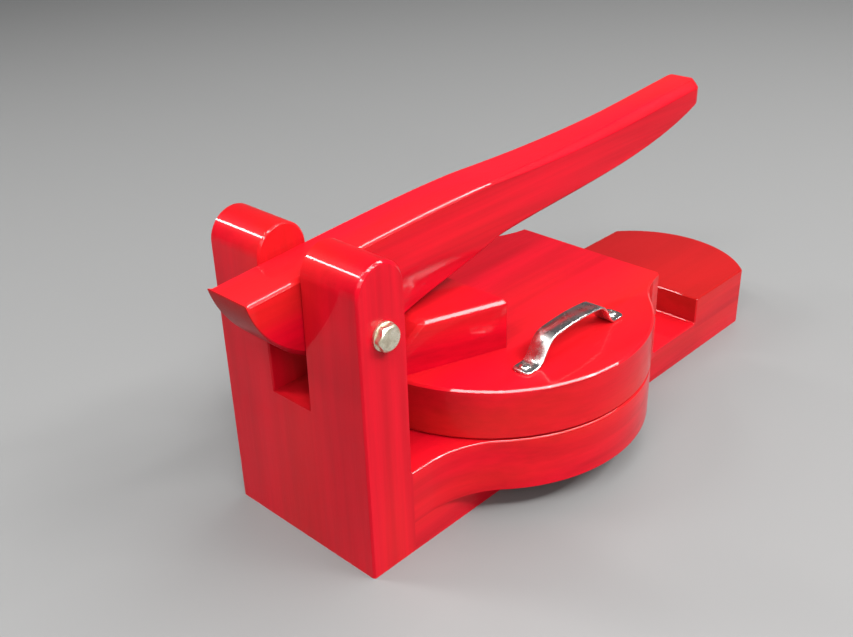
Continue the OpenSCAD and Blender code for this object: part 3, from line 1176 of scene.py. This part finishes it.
    def build(self, finishes: Finishes) -> None:
        """Makes and dresses the base's pieces.

        Args:
            finishes: All finishes.
        """
        dress(self.board(), finishes.board, self.body, "base_board")
        dress(self.runner(), finishes.runner, self.body, "base_runner")
        dress(self.post(), finishes.post, self.body, "clevis_post")
        form = ScrewForm(self.screw_head, self.screw_length, dome=0.0, countersunk=True)
        places = [(x, y, self.screw_seat) for x, y in self.runner_screws()]
        screws = set_screws("runner_screws_cut", form, places, (math.pi, 0.0, 0.0), finishes.screw)
        dress(screws, finishes.screw, self.body, "runner_screws")
        paint("post_dowels", finishes.dowel)


@dataclass
class Platen:
    """Hinged platen, pressing block and their dowels."""

    base: Base
    near_width: float = 42 * MM
    far_width: float = 88 * MM
    bevel_x: float = 12.5 * MM
    bevel_z: float = 13.5 * MM
    edge: float = 3.5 * MM
    block_edge: float = 2.8 * MM
    body: str = "platen"

    def plate(self) -> Object:
        """The round platen with its flared straight edge.

        Returns:
            The object.
        """
        low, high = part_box("upper_platen")
        flare = self.base.flare()
        first = next(i for i, p in enumerate(flare) if p[0] < high[0])
        (x0, y0), (x1, y1) = flare[first - 1], flare[first]
        corner = (high[0], y0 + (y1 - y0) * (high[0] - x0) / (x1 - x0))
        kept = flare[first:]
        start = math.degrees(math.atan2(kept[-1][1], kept[-1][0]))
        edge = arc((0.0, 0.0), self.base.radius, start, 180.0, steps=96)[1:]
        item = prism("upper_platen_eased", mirrored([corner] + kept + edge), low[2], high[2])
        ease(item, self.edge, segments=8)
        flatten(item)
        return item

    def pressing_block(self) -> Object:
        """The fan-shaped block with its bevelled narrow end.

        Returns:
            The object.
        """
        low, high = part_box("pressing_block")
        near, far = self.near_width / 2, self.far_width / 2
        outline = [(low[0], -near), (high[0], -far), (high[0], far), (low[0], near)]
        item = prism("pressing_block_eased", outline, low[2], high[2])
        slope = self.bevel_z / self.bevel_x
        wedge = [(low[0] - MM, high[2] - self.bevel_z - slope * MM),
                 (low[0] + self.bevel_x + MM, high[2] + slope * MM),
                 (low[0] - MM, high[2] + slope * MM)]
        carve(item, [prism("cutter", wedge, -2 * far, 2 * far, across)])
        ease(item, self.block_edge, share=lambda a, b: float(max(a.z, b.z) > low[2] + NEAR))
        flatten(item)
        return item

    def build(self, finishes: Finishes) -> None:
        """Makes and dresses the platen's wooden pieces.

        Args:
            finishes: All finishes.
        """
        dress(self.plate(), finishes.platen, self.body, "upper_platen")
        dress(self.pressing_block(), finishes.block, self.body, "pressing_block")
        paint("block_dowels", finishes.dowel)


@dataclass
class Lever:
    """The sculpted lever, lofted from its side and plan outlines.

    Places that end in _at are shares of the reach from the pivot to the tip.
    A pull is how far a curve leaves a point straight on, along and up.
    """

    block_bevel: float = 12.5 * MM
    press_gap: float = 0.3 * MM
    tail_rise: float = 20 * MM
    tail_pull: Point2 = (5 * MM, 22 * MM)
    heel: float = 0.36
    heel_lift: float = 1 * MM
    belly_drop: float = 6.5 * MM
    belly_share: float = 0.5
    press_run: float = 0.17
    press_dip: float = 3.4 * MM
    press_pull: Point2 = (20 * MM, 6 * MM)
    throat_at: float = 0.385
    throat_pull: Point2 = (22 * MM, 7 * MM)
    throat_extra: float = 8 * MM
    throat_run: float = 0.13
    tip_run: float = 0.17
    tip_sag: float = 28 * MM
    back_rise: float = 29 * MM
    back_pull: float = 3 * MM
    crown_at: float = 0.36
    crown_from: float = 0.2
    crown_lift: float = 0.5 * MM
    hollow_at: float = 0.62
    hollow: float = 1.5 * MM
    rise_at: float = 0.8
    rise_sag: float = 5 * MM
    nose: Point2 = (4 * MM, 3 * MM)
    grip_thickness: float = 29 * MM
    tip_rise: float = 39 * MM
    tip_thickness: float = 15 * MM
    head_at: float = 0.28
    grip_at: float = 0.68
    taper_run: float = 0.14
    swell_run: float = 0.12
    swell_at: float = 0.85
    grip_width: float = 28 * MM
    tip_width: float = 29 * MM
    tip_corner: float = 9 * MM
    edge: float = 2.4 * MM
    grip_edge: float = 5.5 * MM
    under_edge: float = 4.0 * MM
    tip_under_edge: float = 2.0 * MM
    rounding_at: float = 0.35
    rounding_run: float = 0.4
    tail_fade: float = 30 * MM
    tail_least: float = 0.15
    tail_inset: float = 0.25 * MM
    tail_zone: float = 12 * MM
    tail_sections: int = 14
    middle_sections: int = 90
    tip_sections: int = 12
    bore: float = 4.05 * MM
    body: str = "lever"
    pivot: Vector = field(init=False)
    reach: float = field(init=False)
    tail: float = field(init=False)
    head: float = field(init=False)

    def __post_init__(self) -> None:
        """Reads the lengths from the construction."""
        low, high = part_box("lever")
        self.pivot = pivot_place()
        self.reach = high[0] - self.pivot.x
        self.tail = self.pivot.x - low[0]
        self.head = high[1]

    def belly(self) -> list[Point2]:
        """The underside, measured from the pivot.

        Returns:
            Its points, from the tail to the tip.
        """
        block_low, block_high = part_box("pressing_block")
        press_x = block_low[0] + self.block_bevel - self.pivot.x
        press_z = block_high[2] + self.press_gap - self.pivot.z
        press = (press_x, press_z)
        reach, (throat_x, throat_z) = self.reach, self.throat_pull
        low = (press_x * self.belly_share, press_z - self.belly_drop)
        throat = (reach * self.throat_at, self.back_rise - self.grip_thickness - self.throat_extra)
        tip = (reach, self.tip_rise - self.tip_thickness)
        return (
            bezier([(-self.tail, self.tail_rise),
                    (-self.tail + self.tail_pull[0], self.tail_rise - self.tail_pull[1]),
                    (-self.tail * self.heel, low[1] + self.heel_lift), low], steps=40)
            + bezier([low, (low[0] + press_x * self.press_run, low[1]),
                      (press_x * (1 - self.press_run), press_z - self.press_dip), press], steps=12)
            + bezier([press, (press_x + self.press_pull[0], press_z + self.press_pull[1]),
                      (throat[0] - throat_x, throat[1] - throat_z), throat], steps=20)
            + bezier([throat, (throat[0] + reach * self.throat_run, throat[1] + throat_z),
                      (tip[0] - reach * self.tip_run, tip[1] - self.tip_sag), tip], steps=40) + [tip]
        )

    def back(self) -> list[Point2]:
        """The upper side, measured from the pivot.

        Returns:
            Its points, from the tail to the tip.
        """
        reach, crown_z = self.reach, self.back_rise + self.crown_lift
        crown = (reach * self.crown_at, crown_z)
        end = (reach - self.nose[0], self.tip_rise)
        return (
            bezier([(-self.tail, self.tail_rise), (0.0, self.tail_rise + self.back_pull),
                    (reach * self.crown_from, crown_z), crown], steps=24)
            + bezier([crown, (reach * self.hollow_at, self.back_rise - self.hollow),
                      (reach * self.rise_at, self.tip_rise - self.rise_sag), end], steps=40)
            + [end, (reach, self.tip_rise - self.nose[1])]
        )

    def half_width(self) -> list[Point2]:
        """Half the lever's width, measured along from the pivot.

        Returns:
            Its points, from the head to the tip.
        """
        reach, corner = self.reach, self.tip_corner
        grip, tip = self.grip_width / 2, self.tip_width / 2
        grip_x, taper = reach * self.grip_at, reach * self.taper_run
        head_x = reach * self.head_at
        return (
            bezier([(head_x, self.head), (head_x + taper, self.head), (grip_x - taper, grip),
                    (grip_x, grip)], steps=16)
            + bezier([(grip_x, grip), (grip_x + reach * self.swell_run, grip),
                      (reach * self.swell_at, tip), (reach - corner, tip)], steps=16)
            + arc((reach - corner, tip - corner), corner, 90, 0, steps=12)
        )

    def stations(self) -> list[float]:
        """Distances from the pivot at which the sections stand.

        Returns:
            The distances, closest together at both ends.
        """
        near = [-self.tail + self.tail_inset + self.tail_zone * (i / self.tail_sections) ** 2
                for i in range(self.tail_sections + 1)]
        far = [self.reach - self.tip_corner * (1 - math.sin(math.pi / 2 * i / self.tip_sections))
               for i in range(self.tip_sections + 1)]
        span = far[0] - near[-1]
        middle = [near[-1] + span * i / self.middle_sections for i in range(1, self.middle_sections)]
        return near + middle + far

    def build(self, finishes: Finishes) -> None:
        """Makes and dresses the lever.

        Args:
            finishes: All finishes.
        """
        belly, back, width = self.belly(), self.back(), self.half_width()
        rings = []
        for x in self.stations():
            along = share_of(x, 0.0, self.reach)
            blend = share_of(along, self.rounding_at, self.rounding_run)
            top_r = self.edge + (self.grip_edge - self.edge) * blend
            under_r = self.under_edge + (self.tip_under_edge - self.under_edge) * blend
            under_r *= max(share_of(x, -self.tail, self.tail_fade), self.tail_least)
            section = rounded_section(height_at(width, x), height_at(back, x), height_at(belly, x),
                                      top_r, under_r)
            rings.append([self.pivot + Vector((x, y, z)) for y, z in section])
        item = loft("lever_sculpted", rings)
        carve(item, [rod(self.pivot, Vector((0, 1, 0)), self.bore, THROUGH)])
        flatten(item)
        dress(item, finishes.lever, self.body, "lever")


@dataclass
class PivotHardware:
    """Bolt, washer and nut at the lever's pivot."""

    edge: float = 0.35 * MM
    sharp: float = 24.0
    body: str = "base"

    def build(self, finishes: Finishes) -> None:
        """Eases the hexagons' edges and dresses the pieces.

        Args:
            finishes: All finishes.
        """
        for node in ("pivot_bolt", "pivot_nut", "pivot_washer"):
            item = object_of(node + "_eased", frame["nodes"][node].data.copy())
            ease(item, self.edge, segments=3, sharp=self.sharp)
            flatten(item)
            dress(item, finishes.pivot, self.body, node)


@dataclass
class PullHandle:
    """Bent strap handle on the platen, and its screws.

    The bends are measured inwards from the foot and down from the top.
    """

    foot: float = 11 * MM
    thickness: float = 1.6 * MM
    corner: float = 3 * MM
    edge: float = 0.5 * MM
    foot_step: float = 0.02
    foot_steps: int = 6
    toe: float = 2 * MM
    riser: float = 5 * MM
    riser_drop: float = 1.6 * MM
    shoulder: Point2 = (16 * MM, 1 * MM)
    shoulder_pull: Point2 = (22 * MM, 0.5 * MM)
    flat_half: float = 6 * MM
    screw_length: float = 18 * MM
    screw_dome: float = 2.1 * MM
    body: str = "platen"

    def path(self) -> list[Point2]:
        """Middle line of half the strap.

        Returns:
            Its points, from its foot to its middle.
        """
        low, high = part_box("pull_handle")
        end = (high[0] - low[0]) / 2
        top = high[2] - low[2] - self.thickness
        bend = end - self.foot
        shoulder = (bend - self.shoulder[0], top - self.shoulder[1])
        pulled = (bend - self.shoulder_pull[0], top - self.shoulder_pull[1])
        return (
            [(end - end * i * self.foot_step, 0.0) for i in range(self.foot_steps)]
            + bezier([(bend + self.toe, 0.0), (bend - self.riser, 0.0),
                      (bend - self.riser, top - self.riser_drop), shoulder], steps=28)
            + bezier([shoulder, pulled, (self.flat_half, top), (0.0, top)], steps=16)
        )

    def strap(self) -> Object:
        """The bent strap with its rounded ends.

        Returns:
            The object.
        """
        low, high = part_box("pull_handle")
        middle = Vector(((low[0] + high[0]) / 2, (low[1] + high[1]) / 2, low[2] + self.thickness / 2))
        half_w, half_t = (high[1] - low[1]) / 2, self.thickness / 2
        side = self.path()
        line = side + [(0.0, side[-1][1])] + [(-x, z) for x, z in reversed(side)]
        end = line[0][0]
        rings = []
        for i, (x, z) in enumerate(line):
            before, after = line[max(i - 1, 0)], line[min(i + 1, len(line) - 1)]
            ahead = Vector((after[0] - before[0], 0.0, after[1] - before[1])).normalized()
            normal = Vector((ahead.z, 0.0, -ahead.x))
            inset = max(self.corner - (end - abs(x)), 0.0)
            width = half_w - self.corner + math.sqrt(max(self.corner ** 2 - inset ** 2, 1e-9))
            section = rounded_section(width, half_t, -half_t, self.edge, self.edge)
            rings.append([middle + Vector((x, y, z)) + normal * h for y, h in section])
        item = loft("pull_handle_bent", rings)
        shade(item, crisp=60.0)
        return item

    def screws(self, material: Material) -> Object:
        """The domed screws in its feet.

        Args:
            material: Their finish.

        Returns:
            The object.
        """
        low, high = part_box("pull_handle_screws")
        radius = (high[1] - low[1]) / 2
        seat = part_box("pull_handle")[0][2] + self.thickness
        places = [(x, (low[1] + high[1]) / 2, seat) for x in (low[0] + radius, high[0] - radius)]
        form = ScrewForm(radius, self.screw_length, self.screw_dome, countersunk=False)
        return set_screws("pull_handle_screws_cut", form, places, (0.0, 0.0, 0.0), material)

    def build(self, finishes: Finishes) -> None:
        """Makes and dresses the handle and its screws."""
        dress(self.strap(), finishes.steel, self.body, "pull_handle")
        dress(self.screws(finishes.steel), finishes.steel, self.body, "pull_handle_screws")


@dataclass
class Hinges:
    """The two butt hinges in the notch, and their screws."""

    head: float = 3.5 * MM

    def screws(self, node: str, body: str, finishes: Finishes) -> None:
        """Sets detailed screws in place of one node's screws.

        Args:
            node: The construction node with the screws.
            body: The body that they ride on.
            finishes: All finishes.
        """
        low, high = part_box(node)
        leaf_low, leaf_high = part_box("left_hinge_base_leaf")
        outer = high[1] - self.head
        inner = leaf_low[1] + leaf_high[1] - outer
        places = [(high[0], y, (low[2] + high[2]) / 2) for y in (outer, inner, -inner, -outer)]
        form = ScrewForm(self.head, high[0] - low[0], dome=0.0, countersunk=True)
        item = set_screws(node + "_cut", form, places, (0.0, math.pi / 2, 0.0), finishes.screw)
        dress(item, finishes.screw, body, node)

    def build(self, finishes: Finishes) -> None:
        """Dresses the hinges.

        Args:
            finishes: All finishes.
        """
        for side in ("left", "right"):
            for piece in ("base_leaf", "platen_leaf", "pin"):
                paint(f"{side}_hinge_{piece}", finishes.hinge)
        self.screws("hinge_base_screws", "base", finishes)
        self.screws("hinge_platen_screws", "platen", finishes)


# ------------------------------------------------------------ studio

@dataclass(frozen=True)
class Lamp:
    """A soft rectangular lamp that looks at the press.

    Power is in watts and long_way is the direction of its length. A lamp that
    isn't mirrored lights the press without showing in its gloss.
    """

    name: str
    place: Point3
    size: Point2
    power: float
    long_way: Point3
    mirrored: bool = True
    aim: Point3 = (0.03, 0.0, 0.08)

    def hang(self) -> None:
        """Adds the lamp to the scene."""
        light = bpy.data.lights.new(self.name, "AREA")
        light.shape = "RECTANGLE"
        light.size, light.size_y = self.size
        light.energy = self.power
        item = object_of(self.name, light)
        item.visible_glossy = self.mirrored
        back = (Vector(self.place) - Vector(self.aim)).normalized()
        up = back.cross(Vector(self.long_way)).normalized()
        stand(item, self.place, up.cross(back), up, back)


def stand(item: Object, place: Point3, right: Vector, up: Vector, back: Vector) -> None:
    """Places a lamp or a camera by its three axes."""
    turn = Matrix((right, up, back)).transposed().to_4x4()
    item.matrix_world = Matrix.Translation(place) @ turn


# Narrow strips draw the white lines on the worn edges; the fills soften the shade.
LAMPS = (
    Lamp("lever_strip", (0.93, -0.80, 1.45), (1.0, 0.10), 13.0, (1.0, 0.0, 0.0)),
    Lamp("soft_top", (0.90, 0.15, 1.70), (1.6, 1.2), 31.0, (1.0, 0.0, 0.0), mirrored=False),
    Lamp("rim_strip_left", (-0.83, -0.46, 1.45), (0.8, 0.16), 15.0, (0.47, -0.65, 0.0)),
    Lamp("rim_strip_near", (-0.31, -0.98, 1.45), (0.76, 0.16), 14.5, (0.62, -0.43, 0.0)),
    Lamp("rim_strip_right", (0.41, -1.33, 1.45), (0.91, 0.15), 16.5, (0.86, -0.29, 0.0)),
    Lamp("rim_strip_far", (1.20, -1.52, 1.45), (0.9, 0.10), 12.0, (0.84, -0.12, 0.0)),
    Lamp("block_strip", (0.35, -1.04, 1.45), (0.5, 0.13), 8.0, (0.18, -0.06, 0.0)),
    Lamp("arch_strip", (-1.08, -1.55, 1.45), (0.6, 0.20), 13.0, (-0.1, -0.3, 0.0)),
    Lamp("cheek_strip", (-0.82, 1.165, 1.13), (0.5, 0.14), 10.5, (0.10, 0.33, -0.21)),
    Lamp("far_edge_strip", (-0.62, 0.76, 1.45), (0.5, 0.16), 9.0, (0.0, 1.0, 0.0)),
    Lamp("low_fill", (-0.80, -1.35, 0.75), (1.0, 0.6), 9.0, (1.0, -1.0, 0.0)),
    Lamp("side_fill", (-1.20, -0.10, 1.20), (1.2, 0.8), 7.5, (0.0, 1.0, 0.0)),
)


@dataclass
class Studio:
    """Pale floor, soft light and the camera."""

    azimuth: float = -45.64
    elevation: float = 28.16
    roll: float = -1.83
    place: Point3 = (-0.4317, -0.3703, 0.3775)
    focal_px: float = 1051.5
    image_width_px: int = 853
    sensor_mm: float = 36.0
    floor_radius: float = 12.0
    floor_colour: Colour = (0.155, 0.155, 0.153)
    floor_roughness: float = 0.65
    sky_colour: Colour = (0.90, 0.94, 1.0)
    sky_strength: float = 0.14

    def floor(self) -> None:
        """Lays a pale, matt floor under the press."""
        shape = bmesh.new()
        shape.faces.new([shape.verts.new((x, y, 0.0)) for x, y in circle(self.floor_radius, 64)])
        item = from_bmesh("studio_floor", shape)
        material, w, surface = blank_material("pale_floor")
        w.feed_all(surface, {"Base Color": (*self.floor_colour, 1.0), "Roughness": self.floor_roughness})
        item.data.materials.append(material)

    def world(self) -> None:
        """Makes a plain, even surround."""
        world = bpy.data.worlds.new("studio_surround")
        world.use_nodes = True
        sky = world.node_tree.nodes["Background"]
        values = {"Color": (*self.sky_colour, 1.0), "Strength": self.sky_strength}
        Wiring(world.node_tree).feed_all(sky, values)
        bpy.context.scene.world = world
        bpy.context.scene.view_settings.view_transform = "Standard"

    def camera(self) -> None:
        """Sets the camera from its place and the way it looks."""
        turn, tilt, lean = (math.radians(a) for a in (self.azimuth, self.elevation, self.roll))
        back = Vector((math.sin(turn) * math.cos(tilt), -math.cos(turn) * math.cos(tilt), math.sin(tilt)))
        right = Vector((0, 0, 1)).cross(back).normalized()
        up = back.cross(right)
        leaned_right = right * math.cos(lean) + up * math.sin(lean)
        leaned_up = up * math.cos(lean) - right * math.sin(lean)
        lens = bpy.data.cameras.new("camera")
        lens.sensor_width = self.sensor_mm
        lens.lens = self.sensor_mm * self.focal_px / self.image_width_px
        lens.clip_start = 0.01
        item = object_of("camera", lens)
        stand(item, self.place, leaned_right, leaned_up, back)
        bpy.context.scene.camera = item

    def build(self) -> None:
        """Sets the whole studio."""
        self.camera()
        self.floor()
        self.world()
        for lamp in LAMPS:
            lamp.hang()


def main() -> None:
    """Builds the studio and every sub-assembly, in order."""
    logging.basicConfig(level=logging.INFO, format="%(name)s: %(message)s")
    Studio().build()
    finishes = Finishes()
    base = Base()
    for part in (base, Platen(base), Lever(), PivotHardware(), PullHandle(), Hinges()):
        part.build(finishes)
        log.info("%s is done", type(part).__name__)


if __name__ == "__main__":
    main()
